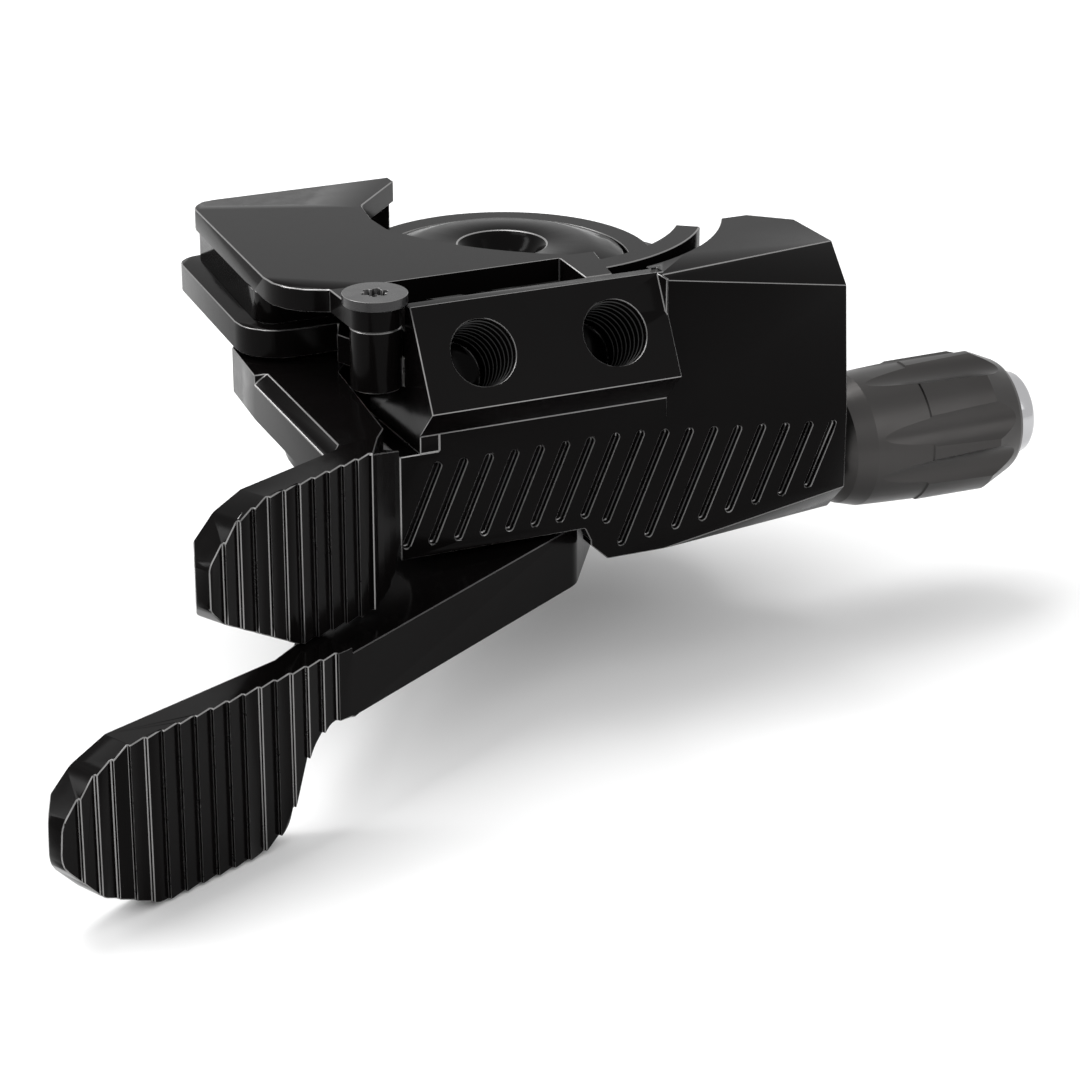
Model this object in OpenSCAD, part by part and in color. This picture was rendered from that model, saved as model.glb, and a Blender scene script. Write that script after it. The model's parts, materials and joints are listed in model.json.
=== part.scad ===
// Two-paddle thumb remote for one control cable, worked from under a handlebar.
// A long lower lever turns a cable spool, and a short upper lever lets it go again.
// Millimetres. The origin is the middle of the clamp face, between its two threaded holes.
// +X runs along the cable towards the adjuster, +Y away from the rider's thumb, +Z up the pivot.

/* [Pivot] */
// Distance of the pivot axis to the right of the clamp face's middle
pivot_x = 5.2; // [4.2:0.1:6.2]
// Distance of the pivot axis behind the clamp face's middle
pivot_y = 20.2; // [19.7:0.1:21.2]
// Radius of the pivot bolt's shank
bolt_r = 3.5; // [3:0.1:3.8]
// Wall of the sleeve that the levers turn on
sleeve_wall = 1.0; // [0.8:0.1:1.3]
// Radius of the flat on the pivot bolt's wide head
head_flat_r = 6.8; // [6:0.1:7.4]
// Radius of the pivot bolt's wide head
head_r = 9.5; // [9:0.1:9.8]
// Height of the head's flat above the rim
head_rise = 1.05; // [0.8:0.05:1.4]
// Width across the flats of the head's hexagon socket
hex_flats = 4.0; // [3:0.5:5]
// Radius of the countersink round the socket
socket_sink_r = 3.5; // [3:0.1:4]

/* [Deck and plate] */
// Height of the deck's top above the origin
deck_z = -0.7; // [-0.9:0.05:-0.6]
// Thickness of the deck and its flange
deck_t = 2.2; // [2:0.1:2.4]
// Outer radius of the rim round the bolt head
rim_r = 11.85; // [11.5:0.05:12.2]
// Height of the rim above the deck
rim_h = 0.7; // [0.5:0.05:0.9]
// How far the flange reaches to the left of the pivot
flange_reach = 23.9; // [23.5:0.1:24.3]
// Height of the top plate's upper face
plate_z = 3.45; // [3.4:0.05:3.7]
// Thickness of the top plate
plate_t = 1.75; // [1.5:0.05:1.9]
// How far the top plate reaches to the left of the pivot, at its front
plate_reach = 22.7; // [22.3:0.1:23]
// How far the plate's foot stands back from its front edge
foot_inset = 5.9; // [5:0.1:7]
// Depth of the top plate, from its front edge to its back edge
plate_depth = 25; // [23:0.5:26]
// Outer radius of the plate's curved guard about the pivot
guard_r = 15.6; // [15.4:0.1:16]
// Width of the plate's curved guard
guard_w = 1.9; // [1.4:0.1:2.2]

/* [Clamp lug] */
// Height of the sloping clamp face, along its slope
face_h = 7.96; // [7.4:0.1:8.6]
// Width of the clamp face at its top
face_w = 20.2; // [19:0.1:22]
// Lean of the clamp face back from upright
face_lean = 30; // [28:1:32]
// Distance between the two threaded holes
hole_gap = 10.5; // [9:0.5:11.5]
// Radius of the threaded holes
hole_r = 2.5; // [2:0.1:2.6]
// Depth of the threaded holes
hole_depth = 7.5; // [5:0.5:8]

/* [Housing] */
// Distance of the slotted front wall behind the origin
front_y = 0.4; // [0.2:0.1:0.7]
// Left end of the slotted front wall
wall_left = -11.7; // [-12:0.1:-11.2]
// Right end of the housing
block_right = 25.2; // [24.6:0.1:26]
// Height of the housing's upper right block
block_top = 3.4; // [3:0.05:3.4]
// Top of the slotted wall
wall_top = -7.2; // [-7.3:0.05:-7.1]
// Bottom of the slotted wall over the lever
wall_bottom = -15.25; // [-15.3:0.05:-15.2]
// Bottom of the housing beside the lever
block_bottom = -18; // [-18.5:0.1:-17.5]
// Radius of the chamber that the spool turns in
chamber_r = 15.6; // [15.5:0.1:15.8]
// Wall round the spool chamber
chamber_wall = 1.8; // [1.5:0.1:2.2]
// Roof over the spool chamber
roof_t = 1.4; // [1.2:0.1:1.5]
// Distance between the slots in the front wall
slot_pitch = 2.046; // [1.9:0.002:2.1]
// Number of slots in the front wall
slot_count = 17; // [10:1:17]
// Width of each slot
slot_w = 0.6; // [0.4:0.1:0.9]
// Lean of the slots from upright
slot_lean = 23.4; // [20:0.2:26]

/* [Main lever] */
// Top of the main lever's arm
arm_z = -15.85; // [-15.9:0.05:-15.75]
// Thickness of the main lever's arm
arm_t = 4.85; // [4.6:0.05:5.2]
// Radius of the main lever's hub
hub_r = 11.3; // [11:0.1:11.6]
// Direction of the arm's front face from the X axis
arm_angle = 31.5; // [31:0.5:32]
// Direction of the grooved paddle from the X axis
paddle_angle = 24; // [22:0.5:26]
// Height of the main paddle
paddle_h = 12.5; // [11.5:0.1:13.5]
// Thickness of both paddles
paddle_t = 2.6; // [2.2:0.1:3]
// Distance between the grip steps on both paddles
grip_pitch = 1.48; // [1.3:0.02:1.6]
// Depth of the grip steps
grip_depth = 0.3; // [0.2:0.05:0.4]
// Number of grip steps on the main paddle
main_grips = 17; // [12:1:17]

/* [Release lever] */
// Top of the release lever
release_z = -3.3; // [-3.35:0.05:-3.2]
// Thickness of the release lever's arm
release_t = 3.5; // [3.2:0.05:3.55]
// Radius of the release lever's hub
release_hub_r = 9.4; // [9:0.1:9.6]
// Direction of the release paddle from the X axis
release_angle = 26.6; // [25:0.2:28]
// Height of the release paddle
release_h = 11.85; // [11:0.05:11.85]
// Number of grip steps on the release paddle
release_grips = 11; // [8:1:11]

/* [Spool and pawls] */
// Depth of the cable's path inside the spool chamber's wall
cable_inset = 1.0; // [0.9:0.1:1.2]
// Diameter of the cable groove
groove_d = 1.6; // [1.3:0.1:1.8]
// Room for the holding pawl between the spool's ratchet ring and the chamber's wall
pawl_room = 7.1; // [6.9:0.1:7.3]
// Radius of the spool's lower drive boss
drive_r = 7.2; // [7:0.1:7.4]
// Radius of the pawl pins
pin_r = 1.0; // [0.8:0.05:1.1]
// Thickness of both pawls
pawl_t = 1.4; // [1.2:0.1:1.5]

/* [Cable adjuster] */
// Height of the cable's line
cable_z = -13.85; // [-14:0.05:-13.7]
// Radius of the adjuster's knob
knob_r = 5.7; // [5.2:0.1:5.9]
// Length of the adjuster's knob
knob_l = 16; // [14:0.1:18]
// Radius of the adjuster's threaded stem
stem_r = 2.5; // [2.2:0.1:2.8]
// Length of the threaded stem inside the housing
stem_l = 7.2; // [6:0.1:7.4]
// Number of pairs of finger flutes round the knob
flute_pairs = 4; // [3:1:5]
// Radius of the end ferrule
ferrule_r = 3.3; // [3:0.1:3.6]
// Length of the end ferrule that shows
ferrule_show = 1.9; // [1.2:0.1:2.6]
// Radius of the ferrule's bore for the cable's outer casing
casing_r = 2.1; // [1.9:0.05:2.3]

/* [Screws] */
// Radius of the plate screw's thin flanged head
screw_head_r = 2.4; // [2.2:0.05:2.6]
// Thickness of the plate screw's head
screw_head_t = 0.75; // [0.6:0.05:1]
// Radius of the screws' threads
screw_r = 1.25; // [1:0.05:1.4]

/* [Clearances] */
// Gap between faces that slide past each other
gap = 0.3; // [0.25:0.01:0.35]
// Radial clearance of what turns on the sleeve or a pin
run_fit = 0.04; // [0.02:0.01:0.08]

/* [Hidden] */
$fn = 64;
big = 80;
nip = 0.01;

pivot = [pivot_x, pivot_y];
deck_bottom = deck_z - deck_t;
rim_z = deck_z + rim_h;
head_recess_r = head_r + 0.4;
plate_bottom = plate_z - plate_t;
sleeve_r = bolt_r + sleeve_wall;
turn_r = sleeve_r + run_fit;
arm_bottom = arm_z - arm_t;
roof_z = wall_top - roof_t;
cable_r = chamber_r - cable_inset;
ratchet_r = chamber_r - pawl_room;
hold_pin_r = chamber_r - 3;
cable_y = pivot_y - cable_r;
cover_t = 0.8;
cover_z = arm_bottom - gap / 2;
nut_z = cover_z - cover_t;
nut_t = 2.2;
washer_t = 0.5;
plate_front = 8.1;
plate_back = plate_front + plate_depth;
plate_left = pivot_x - plate_reach;
flange_left = pivot_x - flange_reach;
// The circle that bites into the plate round the bolt head
bite_at = [16.67, 28.28];
bite_r = 22.55;
ear_r = 1.9;
slot_first = -8.77;
detent_l = 2.3;
screw_at = [-11.9, 4.2];
rear_screws_at = [[-12.2, 27.6], [-5.4, 29.8]];

module at_pivot(z) { translate([pivot_x, pivot_y, z]) children(); }

function unit(v) = v / norm(v);
function polar(r, a) = r * [cos(a), sin(a)];
function from_pivot(r, a) = pivot + polar(r, a);

// One corner of an outline, rounded by radius r
function corner(a, b, c, r, n = 5) =
  r == 0 ? [b] :
  let (
    u = unit(a - b),
    v = unit(c - b),
    half = acos(u * v) / 2,
    o = b + unit(u + v) * r / sin(half),
    p = b + u * r / tan(half),
    q = b + v * r / tan(half),
    start = atan2(p[1] - o[1], p[0] - o[0]),
    turn = atan2(q[1] - o[1], q[0] - o[0]) - start,
    sweep = turn > 180 ? turn - 360 : turn < -180 ? turn + 360 : turn
  )
  [for (i = [0:n]) o + polar(r, start + sweep * i / n)];

// An outline with each corner rounded by its own radius
function softened(pts, radii) =
  let (m = len(pts))
  [for (i = [0:m - 1]) each corner(pts[(i + m - 1) % m], pts[i], pts[(i + 1) % m], radii[i])];

// A band of an annulus about the centre
function band(r0, r1, a0, a1, n = 16) =
  concat(
    [for (i = [0:n]) polar(r1, a0 + (a1 - a0) * i / n)],
    [for (i = [n:-1:0]) polar(r0, a0 + (a1 - a0) * i / n)]
  );

// Takes away all that lies in front of a plane through a point
module cut_front(point, yaw, lean) {
  translate(point) rotate([0, 0, yaw]) rotate([-lean, 0, 0])
    translate([-big / 2, -big, -big / 2]) cube(big);
}

// A round wire bent into a coil, with its axis up and its turns from z = 0
module coil(r, wire, turns, height, a0 = 0, sides = 8, steps = 20) {
  n = ceil(turns * steps);
  rings = [
    for (i = [0:n])
      let (a = a0 + 360 * turns * i / n, z = height * i / n)
      [for (k = [0:sides - 1])
        let (b = 360 * k / sides, q = r + wire / 2 * cos(b))
        [q * cos(a), q * sin(a), z + wire / 2 * sin(b)]]
  ];
  sides_of = [
    for (i = [0:n - 1], k = [0:sides - 1])
      let (a = i * sides + k, b = i * sides + (k + 1) % sides)
      each [[a, a + sides, b + sides], [a, b + sides, b]]
  ];
  first = [for (k = [0:sides - 1]) k];
  last = [for (k = [sides - 1:-1:0]) n * sides + k];
  polyhedron([for (ring = rings) each ring], concat(sides_of, [first, last]), convexity = 6);
}

/* Housing */

lug_top = face_h / 2 * cos(face_lean);
lug_back = face_h / 2 * sin(face_lean);
lug_chamfer = 2.42;
strip_w = 1.05;
shoulder_z = plate_bottom - gap;

// The sloping clamp lug, seen from the right
module lug_profile() {
  polygon([
    [lug_back, lug_top],
    [-lug_back, -lug_top],
    [-lug_back + lug_chamfer, -lug_top - lug_chamfer],
    [-lug_back + lug_chamfer, wall_top],
    [plate_front + 2, wall_top],
    [plate_front + 2, deck_z],
    [plate_front - gap, deck_z],
    [plate_front - gap, shoulder_z],
    [lug_back + strip_w, shoulder_z],
    [lug_back + strip_w, lug_top]
  ]);
}

module lug() {
  translate([-face_w / 2, 0, 0]) rotate([90, 0, 90]) linear_extrude(face_w) lug_profile();
}

module clamp_holes() {
  for (s = [-1, 1])
    translate([s * hole_gap / 2, 0, 0]) rotate([90 - face_lean, 0, 0])
      translate([0, 0, -hole_depth]) cylinder(r = hole_r, h = hole_depth + 1);
}

// Plan of the flange that carries the plate's foot
module flange_plan() {
  polygon(softened(
    [[flange_left, 12.4], [-9, 12.4], [plate_front, 9.4], [plate_front, 31], [-2, 33], [flange_left + 1.3, 32.4]],
    [3.4, 0, 0, 0, 2, 2]
  ));
}

module deck_plan() {
  translate(pivot) circle(r = rim_r - 0.2);
  flange_plan();
  polygon([
    [-12.6, plate_front + 2], [-face_w / 2, lug_back + strip_w], [block_right - 8, lug_back + strip_w],
    [20, plate_front + 3], [pivot_x + 9, pivot_y], [-8, pivot_y]
  ]);
}

// Plan of the wall between deck and chamber, open on the left for the release lever
module web_plan() {
  difference() {
    intersection() {
      chamber_plan();
      polygon([[-8.6, front_y], [30, front_y], [30, 34], [pivot_x + 4, 40], [pivot_x, pivot_y - 2], [-8.6, 8]]);
    }
    translate(pivot) circle(r = release_hub_r + gap + 0.1);
  }
}

module chamber_plan() {
  translate(pivot) circle(r = chamber_r + chamber_wall, $fn = 96);
  polygon([
    [wall_left, front_y], [block_right, front_y], [block_right, 9.6], [22.4, 12.2],
    [pivot_x + 15, pivot_y], [-11.5, pivot_y]
  ]);
}

// Plan of the tall block on the right, hollowed round the plate's guard
module block_plan(left) {
  difference() {
    polygon([[left, front_y], [block_right, front_y], [block_right, 9.6], [22.4, 12.2], [left, 12.2]]);
    translate(pivot) circle(r = guard_r + 1.4, $fn = 96);
  }
}

// Slots in the front wall: their tops follow the facet above, their feet the wall's lower edge
function slot_top(i) = -8.35 - max(0, i - 7.5) * 0.216;
function slot_foot(i) = i < 8 ? -14.06 : i == 8 ? -14.76 : -16.78 + (i - 9) * 0.293;

module front_slots() {
  for (i = [0:slot_count - 1]) {
    length = (slot_top(i) - slot_foot(i)) / cos(slot_lean);
    translate([slot_first + i * slot_pitch, front_y, slot_top(i)]) rotate([0, slot_lean, 0]) rotate([90, 0, 0])
      translate([0, 0, -0.5]) linear_extrude(1) {
        translate([-slot_w / 2, -length]) square([slot_w, length]);
        circle(d = slot_w, $fn = 16);
        translate([0, -length]) circle(d = slot_w, $fn = 16);
      }
  }
}

module housing_mass() {
  // Deck, flange and rim
  translate([0, 0, deck_bottom]) linear_extrude(deck_t) deck_plan();
  at_pivot(deck_bottom + nip) cylinder(r = rim_r, h = rim_z - deck_bottom - nip);
  lug();
  // Post under the plate screw
  translate([screw_at[0], screw_at[1], deck_bottom]) cylinder(r = ear_r, h = plate_bottom - deck_bottom);
  translate([screw_at[0], screw_at[1] - 1, deck_bottom]) cube([3, 6.5, deck_t]);
  // Web, chamber and the block beside them
  translate([0, 0, wall_top - nip]) linear_extrude(deck_bottom - wall_top + 2 * nip) web_plan();
  translate([0, 0, wall_bottom]) linear_extrude(wall_top - wall_bottom) chamber_plan();
  translate([0, 0, wall_bottom]) linear_extrude(block_top - wall_bottom) block_plan(9.6);
  lower_right();
}

// The wall beside the arm, which reaches lower than the rest
module lower_right() {
  intersection() {
    translate([0, 12.2, 0]) rotate([90, 0, 0]) linear_extrude(12.2 - front_y) polygon([
      [3.1, wall_bottom + nip], [3.6, -16.3], [3.6, -16.7], [5, block_bottom],
      [block_right, block_bottom], [block_right, wall_bottom + nip]
    ]);
    translate([0, 0, block_bottom - 1]) linear_extrude(4) polygon([
      [3, front_y - 1], [block_right + 1, front_y - 1], [block_right + 1, 9.6], [22.4, 12.2],
      [12, 13], [5.4, 4.5], [3.6, 1.9], [3, 1.9]
    ]);
  }
}

module housing() {
  color([0.03, 0.03, 0.035])
  difference() {
    housing_mass();
    at_pivot(rim_z - 1.25) cylinder(r = head_recess_r, h = 5);
    at_pivot(wall_bottom - 4) cylinder(r = chamber_r, h = roof_z - wall_bottom + 4, $fn = 96);
    at_pivot(-20) cylinder(r = turn_r, h = 20 + wall_top + 1);
    at_pivot(-20) cylinder(r = bolt_r + run_fit, h = 30);
    clamp_holes();
    front_slots();
    // Upper front facet, the steep facet over it and the chamfer under the block
    intersection() {
      cut_front([7.57, front_y, wall_top - 0.1], 0.39, 4.2);
      translate([face_w / 2 - 0.3, -20, wall_top - 2]) cube([40, 40, 20]);
    }
    intersection() {
      cut_front([block_right, 1.1, 0.6], 8, 42);
      translate([face_w / 2 - 0.3, -20, -4]) cube([40, 40, 20]);
    }
    cut_front([9.7, front_y, block_bottom], 9.3, -45);
    // Cable line and the adjuster's thread
    translate([pivot_x, cable_y, cable_z]) rotate([0, 90, 0]) cylinder(r = 1.1, h = 40, $fn = 32);
    translate([block_right - stem_l - detent_l, cable_y, cable_z]) rotate([0, 90, 0])
      cylinder(r = stem_r + run_fit, h = 20);
    // Window for the release peg, pin hole and screw holes
    at_pivot(roof_z - 1) linear_extrude(roof_t + 2) polygon(band(hold_pin_r - 3.2, hold_pin_r - 1.1, 105.5, 125, 8));
    translate([hold_pin_at[0], hold_pin_at[1], roof_z - 1]) cylinder(r = pin_r, h = 5, $fn = 32);
    translate([screw_at[0], screw_at[1], deck_bottom - 1]) cylinder(r = screw_r, h = 8, $fn = 32);
    for (p = rear_screws_at) {
      translate([p[0], p[1], deck_bottom - 1]) cylinder(r = screw_r + 0.1, h = 5, $fn = 32);
      translate([p[0], p[1], deck_bottom - nip]) cylinder(r = screw_head_r, h = 1.1, $fn = 32);
    }
  }
}

/* Top plate and what holds it */

module plate_plan() {
  polygon(concat(
    softened(
      [[-4.5, 23.2], [-3.9, 26.8], [0.95, 32], [0.95, plate_back], [plate_left + 1.55, plate_back],
       [plate_left, plate_front], [6.6, plate_front]],
      [0, 1.4, 0.3, 0.3, 2.2, 4.6, 0]
    ),
    [for (a = [244:-3.6:200]) bite_at + polar(bite_r, a)]
  ));
  // Tongue that meets the lug, and the curved guard
  polygon([
    [4.3, lug_back + strip_w + 0.1], [6.5, lug_back + strip_w + 0.1], [7.6, plate_front + 0.5],
    [4.55, plate_front + 0.5]
  ]);
  translate(pivot) polygon(band(guard_r - guard_w, guard_r, -86, -37, 14));
  // Ear under the screw
  translate(screw_at) circle(r = ear_r);
  translate([screw_at[0] - ear_r, screw_at[1]]) square([2 * ear_r, plate_front - screw_at[1] + 0.6]);
}

// The plate's foot, flush with its left edge and set back from its front
module foot_plan() {
  foot_front = plate_front + foot_inset;
  polygon(softened(
    [[plate_left + 0.3, foot_front], [-9.2, foot_front], [-9.2, 25], [-5.2, 28.8], [0.7, 32.3],
     [0.7, plate_back - 0.4], [plate_left + 1.8, plate_back - 0.4]],
    [1.6, 2, 2, 2, 0, 0, 2]
  ));
}

module top_plate() {
  color([0.1, 0.1, 0.11])
  difference() {
    union() {
      translate([0, 0, plate_bottom]) linear_extrude(plate_t) plate_plan();
      translate([0, 0, deck_z]) linear_extrude(plate_bottom - deck_z + nip) foot_plan();
    }
    translate([screw_at[0], screw_at[1], 0]) cylinder(r = screw_r + 0.15, h = 8, $fn = 32);
    for (p = rear_screws_at)
      translate([p[0], p[1], deck_z - 1]) cylinder(r = screw_r, h = 3.6, $fn = 32);
  }
}

// A low flanged screw pointing down from z = 0, with a six-lobed socket
module low_screw(length) {
  difference() {
    union() {
      cylinder(r = screw_head_r, h = screw_head_t);
      translate([0, 0, -length]) cylinder(r = screw_r - 0.02, h = length + nip, $fn = 32);
    }
    translate([0, 0, screw_head_t - 0.55]) {
      cylinder(r = 0.75, h = 1, $fn = 24);
      for (k = [0:5]) rotate(60 * k) translate([0.75, 0, 0]) cylinder(r = 0.28, h = 1, $fn = 16);
    }
  }
}

module plate_screw() {
  color([0.15, 0.15, 0.16])
    translate([screw_at[0], screw_at[1], plate_z]) low_screw(5.2);
}

module rear_screws() {
  color([0.15, 0.15, 0.16])
    for (p = rear_screws_at)
      translate([p[0], p[1], deck_bottom + 1]) rotate([180, 0, 0]) low_screw(3.4);
}

/* Axle */

module axle_bolt() {
  color([0.12, 0.12, 0.13])
  at_pivot(0) difference() {
    union() {
      rotate_extrude($fn = 96) polygon([
        [0, rim_z + head_rise], [head_flat_r, rim_z + head_rise], [head_r, rim_z + 0.15],
        [head_r, rim_z - 1.25], [0, rim_z - 1.25]
      ]);
      translate([0, 0, nut_z - nut_t - 0.4]) cylinder(r = bolt_r, h = rim_z - nut_z + nut_t);
    }
    translate([0, 0, rim_z - 0.55]) cylinder(r1 = hex_flats / 2 + 0.3, r2 = socket_sink_r, h = head_rise + 0.56);
    translate([0, 0, rim_z - 3.6]) cylinder(r = hex_flats / 2 / cos(30), h = 4, $fn = 6);
  }
}

module axle_sleeve() {
  color([0.6, 0.48, 0.28])
  at_pivot(cover_z) difference() {
    cylinder(r = sleeve_r, h = deck_bottom - cover_z);
    translate([0, 0, -1]) cylinder(r = bolt_r + run_fit, h = 40);
  }
}

module axle_washer() {
  color([0.5, 0.5, 0.52])
  at_pivot(deck_bottom - gap) difference() {
    cylinder(r = release_hub_r - 0.6, h = gap);
    translate([0, 0, -1]) cylinder(r = turn_r, h = 4);
  }
}

module axle_nut() {
  color([0.3, 0.3, 0.32])
  at_pivot(nut_z - nut_t) difference() {
    cylinder(r = 5.2, h = nut_t);
    translate([0, 0, -1]) cylinder(r = bolt_r + run_fit / 2, h = 6);
    for (k = [0:3]) rotate(90 * k + 45) translate([5.2, 0, -1]) cylinder(r = 1.1, h = 5, $fn = 24);
  }
}

module lever_cover() {
  color([0.25, 0.25, 0.27])
  at_pivot(nut_z) difference() {
    cylinder(r = 9.2, h = cover_t);
    translate([0, 0, -1]) cylinder(r = bolt_r + run_fit, h = 6);
  }
}

/* Spool and its holding pawl */

spool_top = roof_z - gap;
spool_bottom = arm_z + gap;
ratchet_bottom = spool_top - 2.7;
boss_bottom = arm_z - 1.5;
hold_pin_at = from_pivot(hold_pin_r, 100);
hold_tip = from_pivot(ratchet_r + 0.25, 66) - hold_pin_at;
peg_at = from_pivot(hold_pin_r - 2.1, 119);
peg_r = 0.75;
click = 12;

module cable_spool() {
  color([0.45, 0.45, 0.47])
  at_pivot(0) difference() {
    union() {
      translate([0, 0, spool_bottom]) cylinder(r = chamber_r - gap, h = ratchet_bottom - spool_bottom, $fn = 96);
      translate([0, 0, ratchet_bottom - nip]) cylinder(r = ratchet_r, h = spool_top - ratchet_bottom + nip);
      translate([0, 0, boss_bottom]) cylinder(r = drive_r, h = spool_bottom - boss_bottom + nip);
    }
    translate([0, 0, boss_bottom - 1]) cylinder(r = turn_r, h = 20);
    // Groove that the cable winds in, and the pocket for its end
    translate([0, 0, cable_z]) rotate_extrude($fn = 96) translate([cable_r, 0])
      union() {
        circle(d = groove_d, $fn = 16);
        translate([0, -groove_d / 2]) square([4, groove_d]);
      }
    rotate(-172) translate([cable_r - 2.6, 0, cable_z - groove_d]) cylinder(r = 2, h = 8, $fn = 32);
    // Notches for the holding pawl
    for (k = [1:3])
      rotate(62 + click * k) translate([ratchet_r + 0.3, 0, ratchet_bottom + nip])
        linear_extrude(5) polygon([[0.6, -0.3], [-1.2, 0], [-1.2, 0.5], [0.6, 1.6]]);
    // Notches for the drive pawl
    for (k = [0:2])
      rotate(178 - click * k) translate([drive_r + 0.3, 0, boss_bottom - 1])
        linear_extrude(spool_bottom - boss_bottom + 0.9) polygon([[0.6, -0.3], [-1.1, 0], [-1.1, 0.5], [0.6, 1.8]]);
  }
}

module spool_washer() {
  color([0.5, 0.5, 0.52])
  at_pivot(spool_top + nip) difference() {
    cylinder(r = sleeve_r + 2, h = gap - 2 * nip);
    translate([0, 0, -1]) cylinder(r = turn_r, h = 4);
  }
}

pawl_z = spool_top - 0.5 - pawl_t;

module hold_pawl() {
  color([0.6, 0.6, 0.62])
  translate([hold_pin_at[0], hold_pin_at[1], pawl_z]) difference() {
    union() {
      cylinder(r = 2, h = pawl_t, $fn = 40);
      linear_extrude(pawl_t) polygon([[-0.6, 1.9], [7.2, -2.4], hold_tip, hold_tip + [-0.9, 1.2], [0.6, -1.9]]);
      linear_extrude(pawl_t) polygon([[-1.3, -1], [-1.1, -3.1], [0.3, -3.2], [1.3, -1]]);
    }
    translate([0, 0, -1]) cylinder(r = pin_r + run_fit, h = 5, $fn = 40);
  }
}

module hold_pawl_pin() {
  color([0.7, 0.7, 0.72])
  translate([hold_pin_at[0], hold_pin_at[1], pawl_z - 0.3])
    cylinder(r = pin_r, h = wall_top - pawl_z, $fn = 40);
}

module hold_pawl_spring() {
  color([0.7, 0.7, 0.72])
  translate([hold_pin_at[0], hold_pin_at[1], pawl_z + pawl_t + 0.25])
    coil(1.35, 0.2, 1.4, 0.34, 150);
}

/* Release lever */

release_bottom = release_z - release_t;
crease = [-16.95, -7.55];

function along(p, a, s) = p + s * [-cos(a), -sin(a)];
function behind(p, a, t) = p + t * [-sin(a), cos(a)];

// Saw-tooth front of a paddle in plan, from its inner end outwards
function grip_front(p, a, first, pitch, count, depth, end) =
  concat(
    [p],
    [for (i = [0:count - 1]) each [
      along(p, a, first + pitch * i),
      behind(along(p, a, first + pitch * i), a, depth)]],
    [behind(along(p, a, end), a, 0)]
  );

// The outline of a paddle seen square on, raised through its thickness
module face_outline(p, a, pts) {
  translate([p[0], p[1], 0]) rotate([90, 0, a]) translate([0, 0, -12]) linear_extrude(24)
    polygon([for (q = pts) [-q[0], q[1]]]);
}

module release_paddle() {
  inner = crease + 3.3 * [cos(62), sin(62)];
  back_in = inner + 2.4 * [-sin(50), cos(50)];
  intersection() {
    translate([0, 0, release_z - release_h]) linear_extrude(release_h)
      polygon(concat(
        [inner],
        grip_front(crease, release_angle, 0, grip_pitch, release_grips, grip_depth, 16.4),
        [behind(along(crease, release_angle, 16.6), release_angle, 1.2),
         behind(along(crease, release_angle, 15.2), release_angle, paddle_t),
         behind(along(crease, release_angle, 1), release_angle, paddle_t),
         back_in]
      ));
    translate([0, 0, release_z]) face_outline(crease, release_angle, softened(
      [[-6, 0.5], [10.6, 0.5], [10.6, 0], [13.3, -0.8], [16.4, -3.2], [16.6, -6.2], [15, -7.8], [7.6, -release_h],
       [0.6, -release_h], [-1.5, -10.6], [-2.6, -8.2], [-6, -7.6]],
      [0, 0, 0, 1, 1, 1.5, 1.5, 1, 1, 1, 0.5, 0]
    ));
  }
}

arm_outer = [[-18.85, 11], [-19.55, -5.4]];
arm_bevel = 1.05;

// The long bevel along the arm's upper outer edge
module arm_bevel_cut() {
  run = arm_outer[1] - arm_outer[0];
  translate([arm_outer[0][0], arm_outer[0][1], release_z]) rotate([0, 0, atan2(run[1], run[0]) + 90])
    rotate([90, 0, 0]) linear_extrude(norm(run) + 3)
      polygon([[-1, 1], [arm_bevel * 2, 1], [arm_bevel, 0], [0, -0.75], [-1, -0.75]]);
}

module release_arm_plan() {
  difference() {
    union() {
      translate(pivot) circle(r = release_hub_r);
      polygon([
        [-18.2, 17.5], [-15.4, 22.5], [-6, 26], [pivot_x, pivot_y + 6], [pivot_x, pivot_y - 5],
        [-10.5, 12.6], [-12.9, 9.2], [-14.4, -3.2], [-16.6, -6.4], arm_outer[1], arm_outer[0]
      ]);
    }
  }
}

module release_lever() {
  color([0.07, 0.07, 0.08])
  union() {
    difference() {
      translate([0, 0, release_bottom]) linear_extrude(release_t) release_arm_plan();
      at_pivot(release_bottom - 1) cylinder(r = turn_r, h = 8);
      // Well for the spring round the sleeve
      at_pivot(release_z - 1.5) cylinder(r = sleeve_r + 2.6, h = 3);
      arm_bevel_cut();
    }
    release_paddle();
    // Finger and peg that push the holding pawl off
    translate([0, 0, release_bottom]) linear_extrude(1.6)
      polygon([for (q = band(6, 11.8, 113, 125, 4)) pivot + q]);
    translate([peg_at[0], peg_at[1], pawl_z + 0.1])
      cylinder(r = peg_r, h = release_bottom - pawl_z + 0.4, $fn = 32);
  }
}

module release_spring() {
  color([0.7, 0.7, 0.72])
    at_pivot(release_z - 1.2) coil(sleeve_r + 1.3, 0.4, 1.6, 0.76, 20);
}

/* Main lever and its drive pawl */

arm_knee = [-20.5, -12.1];
drive_pin_at = from_pivot(11.4, 215);
well_z = arm_z - 1.9;

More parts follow.
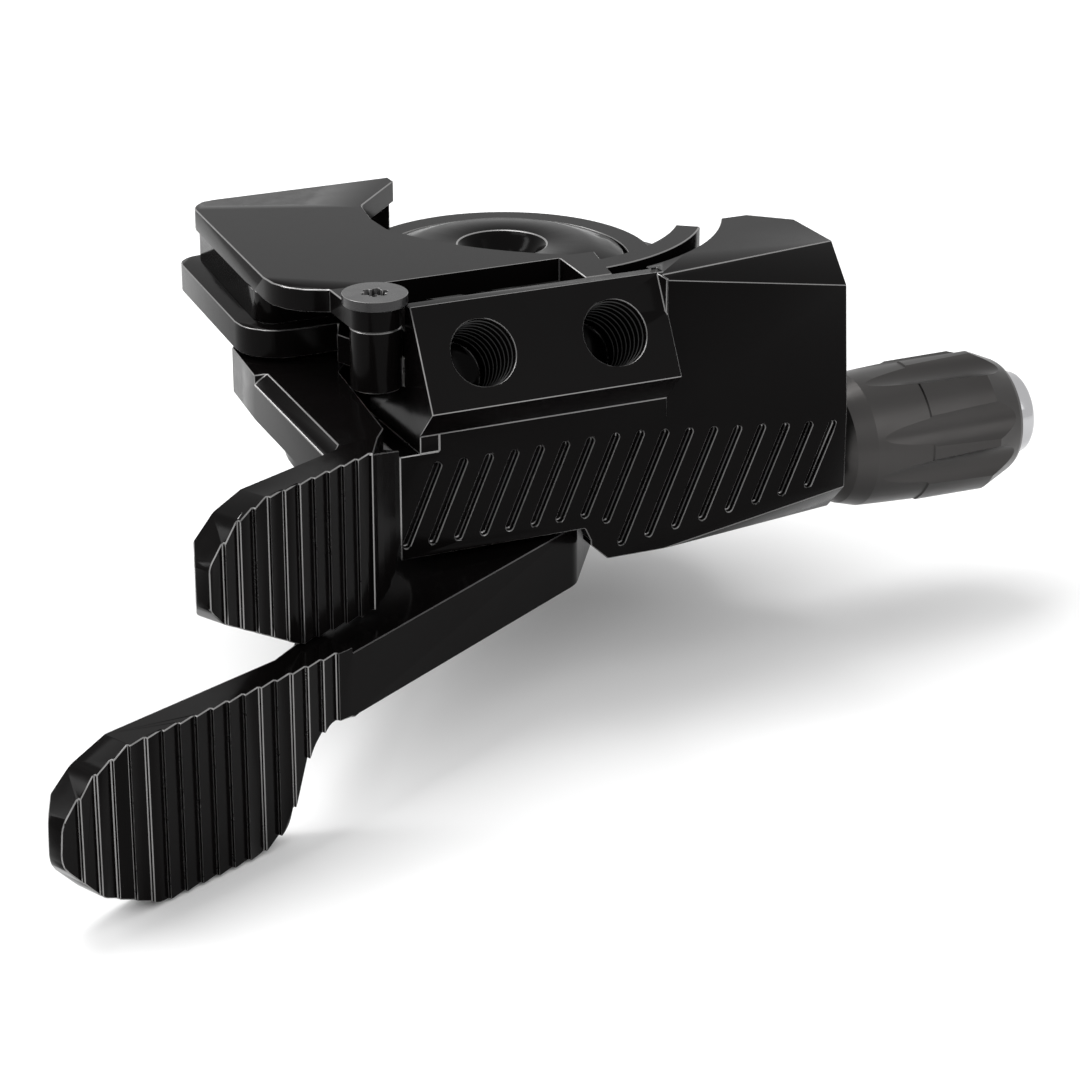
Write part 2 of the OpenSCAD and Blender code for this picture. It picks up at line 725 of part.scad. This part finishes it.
module main_paddle() {
  a = paddle_angle;
  top = arm_z + 0.4;
  intersection() {
    translate([0, 0, top - paddle_h]) linear_extrude(paddle_h)
      polygon(concat(
        grip_front(arm_knee, a, 1.4, grip_pitch, main_grips, grip_depth, 26.9),
        [behind(along(arm_knee, a, 27), a, 1.2),
         behind(along(arm_knee, a, 25.4), a, paddle_t),
         behind(along(arm_knee, a, 5), a, paddle_t),
         behind(along(arm_knee, a, 0), a, 4)]
      ));
    translate([0, 0, top]) face_outline(arm_knee, a, softened(
      [[-1, 0.5], [20.6, 0.5], [20.6, 0], [23.7, -1.1], [26.7, -3.6], [27, -6.4], [23.4, -10.1], [18.4, -paddle_h],
       [9, -paddle_h], [6.4, -11.4], [4.1, -6.4], [2.2, -5.1], [-1, -arm_t - 0.4]],
      [0, 0, 0, 2, 1.5, 2, 2, 3, 3, 2, 3, 1.5, 0]
    ));
  }
}

module arm_plan() {
  translate(pivot) circle(r = hub_r);
  polygon(softened(
    [arm_knee, [3.4, 2.55], [8, 9.6], pivot, [-5.9, 18.5], [-21.4, -5.2], behind(along(arm_knee, paddle_angle, 4), paddle_angle, 2.5)],
    [0, 3, 0, 0, 0, 4, 0]
  ));
}

module main_lever() {
  color([0.07, 0.07, 0.08])
  union() {
    difference() {
      translate([0, 0, arm_bottom]) linear_extrude(arm_t) arm_plan();
      at_pivot(arm_bottom - 1) cylinder(r = turn_r, h = 10);
      // Well for the drive boss and its pawl
      at_pivot(well_z) cylinder(r = drive_r + gap, h = 5);
      translate([0, 0, well_z]) linear_extrude(5) polygon([
        drive_pin_at + [-2.5, -1.6], drive_pin_at + [2.5, -2.4], from_pivot(6.5, 215),
        from_pivot(6.5, 175), from_pivot(9.6, 172), from_pivot(10.4, 182)
      ]);
      // Well for the return spring
      at_pivot(arm_bottom - 1) cylinder(r = 8.4, h = 2.9);
      translate([drive_pin_at[0], drive_pin_at[1], arm_bottom - 1]) cylinder(r = pin_r, h = 10, $fn = 40);
    }
    main_paddle();
  }
}

module lever_spring() {
  color([0.7, 0.7, 0.72])
    at_pivot(arm_bottom + 0.45) coil(6.6, 0.5, 1.8, 1.05, 60);
}

module drive_pawl() {
  tip = from_pivot(drive_r + 0.2, 183) - drive_pin_at;
  color([0.6, 0.6, 0.62])
  translate([drive_pin_at[0], drive_pin_at[1], well_z + 0.1]) difference() {
    union() {
      cylinder(r = 1.8, h = pawl_t, $fn = 40);
      linear_extrude(pawl_t) polygon([[-1.7, 0.2], tip + [-1.9, -0.7], tip + [-0.2, -0.1], tip + [0.2, -1.0], [1.7, 0.2]]);
    }
    translate([0, 0, -1]) cylinder(r = pin_r + run_fit, h = 5, $fn = 40);
  }
}

module drive_pawl_pin() {
  color([0.7, 0.7, 0.72])
  translate([drive_pin_at[0], drive_pin_at[1], arm_bottom + 0.3])
    cylinder(r = pin_r, h = arm_t - 0.5, $fn = 40);
}

module drive_pawl_spring() {
  color([0.7, 0.7, 0.72])
  translate([drive_pin_at[0], drive_pin_at[1], arm_z - 0.17]) rotate([180, 0, 0])
    coil(1.3, 0.24, 0.9, 0.05, 200);
}

/* Cable adjuster */

knob_x = block_right + 0.5;

// Flutes lie in pairs, with a wide land between one pair and the next
module barrel_adjuster() {
  color([0.12, 0.12, 0.13])
  translate([knob_x, cable_y, cable_z]) rotate([0, 90, 0]) difference() {
    union() {
      rotate_extrude($fn = 96) polygon([
        [0, 0], [4.1, 0], [4.8, 0.9], [knob_r - 0.45, 2.5], [knob_r - 0.2, 7.2], [knob_r - 0.08, 7.3],
        [knob_r, knob_l - 2.8], [knob_r - 1.1, knob_l - 0.3], [knob_r - 1.3, knob_l], [0, knob_l]
      ]);
      translate([0, 0, block_right - knob_x - stem_l]) cylinder(r = stem_r - run_fit / 2, h = stem_l + 1);
    }
    translate([0, 0, -stem_l - 1]) cylinder(r = 1.1, h = 40, $fn = 32);
    translate([0, 0, knob_l - 5]) cylinder(r = ferrule_r - 0.3, h = 6);
    for (k = [0:flute_pairs - 1], s = [-1, 1])
      rotate(360 / flute_pairs * k + 18 * s) translate([knob_r + 1.96, 0, -2]) rotate([0, -2, 0])
        cylinder(r = 2.2, h = 22, $fn = 40);
  }
}

module adjuster_washer() {
  color([0.05, 0.05, 0.05])
  translate([block_right + 0.02, cable_y, cable_z]) rotate([0, 90, 0]) difference() {
    cylinder(r = 4.2, h = 0.4);
    translate([0, 0, -1]) cylinder(r = stem_r + run_fit, h = 4);
  }
}

module detent_spring() {
  color([0.7, 0.7, 0.72])
  translate([block_right - stem_l - detent_l + 0.28, cable_y, cable_z]) rotate([0, 90, 0])
    coil(2.0, 0.5, 2.5, detent_l - 0.65);
}

module end_ferrule() {
  color([0.85, 0.85, 0.87])
  translate([knob_x + knob_l - 4.9, cable_y, cable_z]) rotate([0, 90, 0]) difference() {
    union() {
      cylinder(r = ferrule_r - 0.34, h = 5);
      translate([0, 0, 4.94]) cylinder(r = ferrule_r, h = ferrule_show - 0.3);
      translate([0, 0, 4.94 + ferrule_show - 0.3]) cylinder(r1 = ferrule_r, r2 = ferrule_r - 0.3, h = 0.3);
    }
    translate([0, 0, 1.2]) cylinder(r = casing_r, h = 10);
    translate([0, 0, -1]) cylinder(r = 1.1, h = 10, $fn = 32);
  }
}

housing();
top_plate();
plate_screw();
rear_screws();
axle_bolt();
axle_sleeve();
axle_washer();
axle_nut();
release_lever();
release_spring();
cable_spool();
spool_washer();
hold_pawl();
hold_pawl_pin();
hold_pawl_spring();
main_lever();
lever_spring();
drive_pawl();
drive_pawl_pin();
drive_pawl_spring();
lever_cover();
barrel_adjuster();
adjuster_washer();
detent_spring();
end_ferrule();
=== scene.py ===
"""Looks of the two-paddle cable remote: black anodised body and levers whose narrow edge flats are painted light
grey as a highlight, a satin fluted adjuster and a bright ferrule, on a plain white table."""

import json
import math

import bmesh
import bpy
from mathutils import Matrix, Vector
from mathutils.geometry import delaunay_2d_cdt


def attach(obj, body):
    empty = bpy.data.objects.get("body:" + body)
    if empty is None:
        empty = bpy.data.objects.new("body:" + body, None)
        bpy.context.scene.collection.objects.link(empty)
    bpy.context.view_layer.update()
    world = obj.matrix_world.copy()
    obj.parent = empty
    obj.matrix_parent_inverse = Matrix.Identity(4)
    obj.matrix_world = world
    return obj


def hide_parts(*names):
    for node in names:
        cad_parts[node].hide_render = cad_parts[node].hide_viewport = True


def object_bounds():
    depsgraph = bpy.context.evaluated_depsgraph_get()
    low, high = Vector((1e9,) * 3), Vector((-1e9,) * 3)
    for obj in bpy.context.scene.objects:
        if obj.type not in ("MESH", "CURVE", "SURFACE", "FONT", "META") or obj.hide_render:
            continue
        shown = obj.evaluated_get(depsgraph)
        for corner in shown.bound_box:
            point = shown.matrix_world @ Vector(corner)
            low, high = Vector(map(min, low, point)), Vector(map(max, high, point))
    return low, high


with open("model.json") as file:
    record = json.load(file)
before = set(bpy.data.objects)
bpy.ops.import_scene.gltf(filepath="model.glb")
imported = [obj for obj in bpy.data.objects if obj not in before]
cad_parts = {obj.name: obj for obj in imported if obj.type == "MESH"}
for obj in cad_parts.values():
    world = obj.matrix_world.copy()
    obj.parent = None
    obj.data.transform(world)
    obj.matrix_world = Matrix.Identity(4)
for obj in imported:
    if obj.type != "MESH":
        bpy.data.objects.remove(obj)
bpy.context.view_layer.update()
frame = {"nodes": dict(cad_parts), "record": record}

MM = 0.001

# Where the photograph was taken from, in millimetres and degrees
CAMERA_AT = (-99.14, -214.82, 82.04)
CAMERA_YAW = -24.6
CAMERA_DIP = 22.4
CAMERA_LENS = 115

# Edge breaks of the machined pieces, in millimetres
EDGE_BREAK = {
    "housing": 0.07,
    "top_plate": 0.08,
    "main_lever": 0.07,
    "release_lever": 0.07,
    "axle_bolt": 0.08,
    "end_ferrule": 0.1,
    "plate_screw": 0.03,
    "rear_screws": 0.04,
    "axle_nut": 0.08,
    "lever_cover": 0.08,
}
SHARP_ANGLE = math.radians(24)


def body_of_node(node):
    """Name of the moving body that a CAD node belongs to."""
    for body, nodes in frame["record"]["behaviour"]["bodies"].items():
        if node in nodes:
            return body
    raise KeyError(node)


# ---- finishes


def node_of(tree, kind, **values):
    node = tree.nodes.new(kind)
    for key, value in values.items():
        setattr(node, key, value)
    return node


def object_noise(tree, scale, detail=4.0, stretch=(1, 1, 1)):
    """Noise fixed to the piece, with its grains drawn out by stretch."""
    coords = node_of(tree, "ShaderNodeTexCoord")
    place = node_of(tree, "ShaderNodeMapping")
    place.inputs["Scale"].default_value = stretch
    noise = node_of(tree, "ShaderNodeTexNoise")
    noise.inputs["Scale"].default_value = scale
    noise.inputs["Detail"].default_value = detail
    tree.links.new(coords.outputs["Object"], place.inputs["Vector"])
    tree.links.new(place.outputs["Vector"], noise.inputs["Vector"])
    return noise


def ranged(tree, source, low, high):
    """Maps a noise output onto low..high."""
    remap = node_of(tree, "ShaderNodeMapRange")
    remap.inputs["From Min"].default_value = 0.3
    remap.inputs["From Max"].default_value = 0.7
    remap.inputs["To Min"].default_value = low
    remap.inputs["To Max"].default_value = high
    tree.links.new(source, remap.inputs["Value"])
    return remap.outputs["Result"]


def metal_finish(name, dark, light, rough, metallic, specular=0.5, coat=0.0, coat_rough=0.1,
                 grain=900.0, bump=0.02, stretch=(1, 1, 1)):
    """A finish with fine grain: colour between dark and light, roughness rough = (low, high)."""
    finish = bpy.data.materials.new(name)
    finish.use_nodes = True
    tree = finish.node_tree
    shader = tree.nodes["Principled BSDF"]
    shader.inputs["Metallic"].default_value = metallic
    shader.inputs["Specular IOR Level"].default_value = specular
    shader.inputs["Coat Weight"].default_value = coat
    shader.inputs["Coat Roughness"].default_value = coat_rough

    cloud = object_noise(tree, 60.0, 3.0)
    ramp = node_of(tree, "ShaderNodeValToRGB")
    ramp.color_ramp.elements[0].position = 0.3
    ramp.color_ramp.elements[0].color = (*dark, 1)
    ramp.color_ramp.elements[1].position = 0.7
    ramp.color_ramp.elements[1].color = (*light, 1)
    tree.links.new(cloud.outputs["Fac"], ramp.inputs["Fac"])
    tree.links.new(ramp.outputs["Color"], shader.inputs["Base Color"])

    fine = object_noise(tree, grain, 5.0, stretch)
    tree.links.new(ranged(tree, fine.outputs["Fac"], *rough), shader.inputs["Roughness"])
    relief = node_of(tree, "ShaderNodeBump")
    relief.inputs["Strength"].default_value = bump
    relief.inputs["Distance"].default_value = 0.00005
    tree.links.new(fine.outputs["Fac"], relief.inputs["Height"])
    tree.links.new(relief.outputs["Normal"], shader.inputs["Normal"])
    return finish


black_anodised = metal_finish("black_anodised", (0.002, 0.0017, 0.0017), (0.003, 0.0026, 0.0026),
                              (0.13, 0.19), 0.0, specular=0.04)
# Light grey metal for the edge flats: a painted highlight, standing in for the light the chamfers catch.
painted_edge_highlight = metal_finish("painted_edge_highlight", (0.17, 0.168, 0.167), (0.25, 0.246, 0.245),
                           (0.25, 0.34), 0.8, specular=0.5)
knob_anodised = metal_finish("knob_anodised", (0.044, 0.042, 0.041), (0.054, 0.052, 0.051),
                             (0.3, 0.38), 0.95, specular=0.3, grain=1500.0, stretch=(0.2, 1, 1))
black_oxide = metal_finish("black_oxide", (0.02, 0.02, 0.021), (0.035, 0.034, 0.034),
                           (0.24, 0.34), 0.5)
polished_nickel = metal_finish("polished_nickel", (0.4, 0.4, 0.41), (0.48, 0.48, 0.49),
                               (0.1, 0.16), 1.0)
ground_steel = metal_finish("ground_steel", (0.38, 0.38, 0.39), (0.46, 0.46, 0.47),
                            (0.2, 0.34), 1.0, stretch=(1, 8, 8))
spool_alloy = metal_finish("spool_alloy", (0.26, 0.26, 0.27), (0.32, 0.32, 0.33),
                           (0.3, 0.42), 1.0, stretch=(1, 1, 12))
bearing_bronze = metal_finish("bearing_bronze", (0.42, 0.29, 0.13), (0.52, 0.37, 0.19),
                              (0.28, 0.4), 1.0)
slip_plastic = metal_finish("slip_plastic", (0.5, 0.49, 0.45), (0.56, 0.55, 0.51),
                            (0.4, 0.5), 0.0)
black_rubber = metal_finish("black_rubber", (0.012, 0.012, 0.012), (0.02, 0.02, 0.02),
                            (0.6, 0.75), 0.0, specular=0.3, bump=0.08)
thread_black = metal_finish("thread_black", (0.006, 0.006, 0.006), (0.01, 0.01, 0.01),
                            (0.3, 0.4), 0.2)

FINISH_OF_SLOT = {
    "black_anodised": black_anodised,
    "dark_knob": knob_anodised,
    "black_steel": black_oxide,
    "bronze": bearing_bronze,
    "spool_alloy": spool_alloy,
    "hard_steel": ground_steel,
    "slip_washer": slip_plastic,
    "black_rubber": black_rubber,
    "bright_ferrule": polished_nickel,
    "spring_steel": ground_steel,
}
SLOT_OF_NODE = {part["node"]: part["material_slot"] for part in frame["record"]["subparts"]}


# ---- machined pieces with broken edges and painted edge highlights


def finished(name, mesh, body, nodes=()):
    """Adds a mesh to the scene as one piece of the object."""
    piece = bpy.data.objects.new(name, mesh)
    bpy.context.scene.collection.objects.link(piece)
    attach(piece, body)
    if nodes:
        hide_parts(*nodes)
    return piece


def merged_copy(node):
    """The CAD node's surface as one joined mesh, its flat faces cut into even triangles."""
    shape = bmesh.new()
    shape.from_mesh(frame["nodes"][node].data)
    bmesh.ops.remove_doubles(shape, verts=shape.verts, dist=0.002 * MM)
    bmesh.ops.dissolve_limit(shape, angle_limit=math.radians(0.3), verts=shape.verts,
                             edges=shape.edges, delimit={"NORMAL"})
    bmesh.ops.triangulate(shape, faces=shape.faces)
    mesh = bpy.data.meshes.new(node + "_machined")
    shape.to_mesh(mesh)
    shape.free()
    return mesh


def baked(piece):
    """The piece's mesh with its modifiers worked in."""
    graph = bpy.context.evaluated_depsgraph_get()
    return bpy.data.meshes.new_from_object(piece.evaluated_get(graph))


def flat_around(seed, left):
    """The faces of left that lie in the seed's plane and join up with it."""
    level = seed.normal.dot(seed.verts[0].co)
    flat, front = {seed}, [seed]
    while front:
        for edge in front.pop().edges:
            for face in edge.link_faces:
                if face in left and face not in flat and all(
                        abs(seed.normal.dot(v.co) - level) < 0.0005 * MM for v in face.verts):
                    flat.add(face)
                    front.append(face)
    return flat


def inside(spot, sides):
    """Whether a point in the plane lies within the outline, holes left out."""
    odd = False
    for a, b in sides:
        if (a.y > spot.y) != (b.y > spot.y) and spot.x < a.x + (spot.y - a.y) * (b.x - a.x) / (b.y - a.y):
            odd = not odd
    return odd


def recut_flat(shape, flat, normal):
    """Cuts a flat region anew from its rim alone."""
    edges = {edge for face in flat for edge in face.edges}
    rim = [edge for edge in edges if sum(face in flat for face in edge.link_faces) == 1]
    level = normal.dot(rim[0].verts[0].co)
    across = normal.orthogonal().normalized()
    upward = normal.cross(across)
    verts = list({v for edge in rim for v in edge.verts})
    seat = {v: i for i, v in enumerate(verts)}
    spots = [Vector((v.co.dot(across), v.co.dot(upward))) / MM for v in verts]
    ends = [(seat[edge.verts[0]], seat[edge.verts[1]]) for edge in rim]
    sides = [(spots[a], spots[b]) for a, b in ends]
    points, _, triangles, sources, _, _ = delaunay_2d_cdt(spots, ends, [], 0, 1e-6)
    bmesh.ops.delete(shape, geom=list(flat), context="FACES_ONLY")
    bmesh.ops.delete(shape, geom=list(edges.difference(rim)), context="EDGES")
    corners = [verts[source[0]] if source
               else shape.verts.new((across * point.x + upward * point.y) * MM + normal * level)
               for source, point in zip(sources, points)]
    for triangle in triangles:
        middle = sum((points[i] for i in triangle), Vector((0, 0))) / 3
        if inside(middle, sides):
            face = shape.faces.new([corners[i] for i in triangle])
            face.normal_update()
            if face.normal.dot(normal) < 0:
                face.normal_flip()


def unfolded(mesh):
    """Recuts every flat region in which the edge break has folded a thin face over."""
    shape = bmesh.new()
    shape.from_mesh(mesh)
    left = {face for face in shape.faces if face.material_index == 0}
    for seed in sorted(left, key=lambda face: -face.calc_area()):
        if seed in left:
            flat = flat_around(seed, left)
            left -= flat
            if any(face.normal.dot(seed.normal) < 0.5 for face in flat):
                recut_flat(shape, flat, seed.normal.copy())
    shape.to_mesh(mesh)
    shape.free()


def broken_edges(name, mesh, width, finish, edge_finish):
    """The mesh with every sharp edge broken by a narrow flat that takes edge_finish, which on the black pieces is
    a painted highlight.
    """
    mesh.materials.clear()
    mesh.materials.append(finish)
    mesh.materials.append(edge_finish)
    for face in mesh.polygons:
        face.material_index = 0
    blank = bpy.data.objects.new(name + "_blank", mesh)
    bpy.context.scene.collection.objects.link(blank)
    bevel = blank.modifiers.new("break", "BEVEL")
    bevel.width = width * MM
    bevel.segments = 1
    bevel.limit_method = "ANGLE"
    bevel.angle_limit = SHARP_ANGLE
    bevel.use_clamp_overlap = False
    bevel.miter_outer = "MITER_ARC"
    bevel.material = 1
    result = baked(blank)
    bpy.data.objects.remove(blank)
    unfolded(result)
    result.name = name
    result.shade_smooth()
    result.set_sharp_from_angle(angle=SHARP_ANGLE)
    return result


# Every edge flat gets the painted edge highlight, except the ferrule's, which stay polished nickel.
EDGE_FINISH = {"end_ferrule": polished_nickel}
for node, width in EDGE_BREAK.items():
    slot = SLOT_OF_NODE[node]
    edged = broken_edges(node + "_edged", merged_copy(node), width, FINISH_OF_SLOT[slot],
                         EDGE_FINISH.get(node, painted_edge_highlight))
    finished(node + "_edged", edged, body_of_node(node), [node])

for node, part in frame["nodes"].items():
    if node in EDGE_BREAK:
        continue
    part.data.materials.clear()
    part.data.materials.append(FINISH_OF_SLOT[SLOT_OF_NODE[node]])


# ---- heel of the release paddle: its grooved front bends back at the crease

CREASE = (-16.95, -7.55)
HEEL_ANGLE = math.radians(50)
HEEL_LENGTH = 6.0
HEEL_THICK = 2.2
GROOVE_DEPTH = 0.2
# The heel seen square on: distance from the crease and height
HEEL_FACE = [(-0.05, -3.35), (HEEL_LENGTH, -5.3), (HEEL_LENGTH, -12.2), (4.7, -14.2), (2.9, -15.0), (-0.05, -15.1)]


def heel_point(s, depth):
    """A point in plan, s along the heel and depth behind its face."""
    c, d = math.cos(HEEL_ANGLE), math.sin(HEEL_ANGLE)
    return (CREASE[0] + s * c - depth * d, CREASE[1] + s * d + depth * c)


def prism(name, rings):
    """A closed solid between two matching rings of points in millimetres."""
    count = len(rings[0])
    faces = [tuple(range(count - 1, -1, -1)), tuple(range(count, 2 * count))]
    faces += [(i, (i + 1) % count, count + (i + 1) % count, count + i) for i in range(count)]
    mesh = bpy.data.meshes.new(name)
    mesh.from_pydata([Vector(p) * MM for ring in rings for p in ring], [], faces)
    shape = bmesh.new()
    shape.from_mesh(mesh)
    bmesh.ops.recalc_face_normals(shape, faces=shape.faces)
    shape.to_mesh(mesh)
    shape.free()
    piece = bpy.data.objects.new(name, mesh)
    bpy.context.scene.collection.objects.link(piece)
    return piece


def paddle_heel():
    plan = [heel_point(-0.05, 0.02)]
    for i in range(4):
        step = 0.9 + 1.35 * i
        plan += [heel_point(step, 0.0), heel_point(step, GROOVE_DEPTH)]
    plan += [heel_point(HEEL_LENGTH, 0.0), heel_point(HEEL_LENGTH - 0.5, HEEL_THICK), heel_point(0.5, HEEL_THICK)]
    solid = prism("heel_plan", [[(x, y, z) for x, y in plan] for z in (-16, -3)])
    cut = prism("heel_face", [[(*heel_point(s, depth), z) for s, z in HEEL_FACE] for depth in (-1, 4)])
    trim = solid.modifiers.new("trim", "BOOLEAN")
    trim.operation = "INTERSECT"
    trim.object = cut
    mesh = baked(solid)
    for scrap in (solid, cut):
        bpy.data.objects.remove(scrap)
    # The heel's edge flats also get the painted edge highlight.
    edged = broken_edges("release_paddle_heel", mesh, EDGE_BREAK["release_lever"], black_anodised, painted_edge_highlight)
    finished("release_paddle_heel", edged, "release_arm")


paddle_heel()


# ---- repeated small features, by geometry nodes


def socket(tree, name, kind, value):
    made = tree.interface.new_socket(name=name, in_out="INPUT", socket_type=kind)
    if value is not None:
        made.default_value = value
    return made.identifier


def thread_rings():
    """Rings of a thread's crests along a hole: radius, wire, pitch and count."""
    tree = bpy.data.node_groups.new("thread_rings", "GeometryNodeTree")
    ids = {
        "radius": socket(tree, "Thread radius", "NodeSocketFloat", 2.4 * MM),
        "wire": socket(tree, "Crest radius", "NodeSocketFloat", 0.15 * MM),
        "pitch": socket(tree, "Pitch", "NodeSocketFloat", 0.8 * MM),
        "count": socket(tree, "Turns", "NodeSocketInt", 8),
        "finish": socket(tree, "Finish", "NodeSocketMaterial", None),
    }
    tree.interface.new_socket(name="Rings", in_out="OUTPUT", socket_type="NodeSocketGeometry")
    given = node_of(tree, "NodeGroupInput")
    out = node_of(tree, "NodeGroupOutput")
    ring = node_of(tree, "GeometryNodeCurvePrimitiveCircle")
    ring.inputs["Resolution"].default_value = 64
    wire = node_of(tree, "GeometryNodeCurvePrimitiveCircle")
    wire.inputs["Resolution"].default_value = 6
    sweep = node_of(tree, "GeometryNodeCurveToMesh")
    step = node_of(tree, "ShaderNodeCombineXYZ")
    row = node_of(tree, "GeometryNodeMeshLine", mode="OFFSET")
    copies = node_of(tree, "GeometryNodeInstanceOnPoints")
    real = node_of(tree, "GeometryNodeRealizeInstances")
    paint = node_of(tree, "GeometryNodeSetMaterial")
    link = tree.links.new
    link(given.outputs["Thread radius"], ring.inputs["Radius"])
    link(given.outputs["Crest radius"], wire.inputs["Radius"])
    link(ring.outputs["Curve"], sweep.inputs["Curve"])
    link(wire.outputs["Curve"], sweep.inputs["Profile Curve"])
    link(given.outputs["Pitch"], step.inputs["Z"])
    link(given.outputs["Turns"], row.inputs["Count"])
    link(step.outputs["Vector"], row.inputs["Offset"])
    link(row.outputs["Mesh"], copies.inputs["Points"])
    link(sweep.outputs["Mesh"], copies.inputs["Instance"])
    link(copies.outputs["Instances"], real.inputs["Geometry"])
    link(real.outputs["Geometry"], paint.inputs["Geometry"])
    link(given.outputs["Finish"], paint.inputs["Material"])
    link(paint.outputs["Geometry"], out.inputs["Rings"])
    return tree, ids


def grown(name, tree, ids, values, place, body):
    """Runs a geometry-nodes tree once and keeps its mesh as a piece, moved by place."""
    seed = bpy.data.objects.new(name + "_seed", bpy.data.meshes.new(name + "_seed"))
    bpy.context.scene.collection.objects.link(seed)
    modifier = seed.modifiers.new("grow", "NODES")
    modifier.node_group = tree
    for key, value in values.items():
        modifier[ids[key]] = value
    mesh = baked(seed)
    bpy.data.objects.remove(seed)
    mesh.name = name
    mesh.transform(place)
    mesh.shade_smooth()
    return finished(name, mesh, body)


def along(point, direction):
    """Placement with its Z along direction, at a point in metres."""
    turn = Vector(direction).to_track_quat("Z", "Y").to_matrix().to_4x4()
    return Matrix.Translation(Vector(point)) @ turn


rings, ring_ids = thread_rings()
for mount in frame["record"]["mounts"]:
    if mount["kind"] != "threaded_hole":
        continue
    radius = mount["dims"]["r_mm"]
    inwards = -Vector(mount["axis"])
    start = Vector(mount["pos_m"]) + 0.7 * MM * inwards
    grown(mount["name"] + "_thread", rings, ring_ids,
          {"radius": radius * MM, "wire": 0.1 * MM, "pitch": 0.8 * MM, "count": 8, "finish": thread_black},
          along(start, inwards), "frame")


# ---- table, light and camera


def pale_material(name):
    """A plain pale surface that keeps the object's shadow."""
    made = bpy.data.materials.new(name)
    made.use_nodes = True
    tree = made.node_tree
    tree.nodes["Principled BSDF"].inputs["Base Color"].default_value = (0.92, 0.92, 0.92, 1)
    tree.nodes["Principled BSDF"].inputs["Roughness"].default_value = 0.9
    tree.nodes["Principled BSDF"].inputs["Specular IOR Level"].default_value = 0.0
    return made


def table_top():
    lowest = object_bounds()[0].z
    half = 4.0
    mesh = bpy.data.meshes.new("table")
    corners = [(-half, -half), (half, -half), (half, half), (-half, half)]
    mesh.from_pydata([(x, y, lowest - 0.2 * MM) for x, y in corners], [], [(0, 1, 2, 3)])
    mesh.materials.append(pale_material("table_white"))
    table = bpy.data.objects.new("table", mesh)
    bpy.context.scene.collection.objects.link(table)


def soft_world():
    world = bpy.data.worlds.new("studio")
    bpy.context.scene.world = world
    world.use_nodes = True
    tree = world.node_tree
    tree.nodes.clear()
    out = node_of(tree, "ShaderNodeOutputWorld")
    seen = node_of(tree, "ShaderNodeBackground")
    seen.inputs["Color"].default_value = (1, 1, 1, 1)
    seen.inputs["Strength"].default_value = 1.0
    fill = node_of(tree, "ShaderNodeBackground")
    fill.inputs["Color"].default_value = (1, 1, 1, 1)
    fill.inputs["Strength"].default_value = 0.88
    path = node_of(tree, "ShaderNodeLightPath")
    mirrored = node_of(tree, "ShaderNodeMath", operation="MAXIMUM")
    white_for = node_of(tree, "ShaderNodeMath", operation="MAXIMUM")
    mix = node_of(tree, "ShaderNodeMixShader")
    tree.links.new(path.outputs["Is Glossy Ray"], mirrored.inputs[0])
    tree.links.new(path.outputs["Is Transmission Ray"], mirrored.inputs[1])
    tree.links.new(path.outputs["Is Camera Ray"], white_for.inputs[0])
    tree.links.new(mirrored.outputs["Value"], white_for.inputs[1])
    tree.links.new(white_for.outputs["Value"], mix.inputs["Fac"])
    tree.links.new(fill.outputs["Background"], mix.inputs[1])
    tree.links.new(seen.outputs["Background"], mix.inputs[2])
    tree.links.new(mix.outputs["Shader"], out.inputs["Surface"])


def softbox(name, at, size, power, target=(0, 0.005, -0.008)):
    """A rectangular lamp at a place in metres, facing the object."""
    lamp = bpy.data.lights.new(name, "AREA")
    lamp.shape = "RECTANGLE"
    lamp.size, lamp.size_y = size
    lamp.energy = power
    box = bpy.data.objects.new(name, lamp)
    box.location = at
    box.rotation_euler = (Vector(target) - Vector(at)).to_track_quat("-Z", "Y").to_euler()
    bpy.context.scene.collection.objects.link(box)


def camera():
    lens = bpy.data.cameras.new("camera")
    lens.lens = CAMERA_LENS
    lens.sensor_width = 36
    lens.clip_start, lens.clip_end = 0.01, 20
    seat = bpy.data.objects.new("camera", lens)
    seat.location = Vector(CAMERA_AT) * MM
    seat.rotation_euler = (math.radians(90 - CAMERA_DIP), 0, math.radians(CAMERA_YAW))
    bpy.context.scene.collection.objects.link(seat)
    bpy.context.scene.camera = seat


table_top()
soft_world()
softbox("overhead", (-0.1, 0.2, 0.6), (0.5, 0.3), 2.2)
softbox("left_strip", (-0.5, 0.25, 0.35), (0.12, 0.4), 1.5)
softbox("front_right", (0.27, -0.52, 0.38), (0.5, 0.4), 0.7)
camera()
bpy.context.scene.view_settings.view_transform = "Standard"
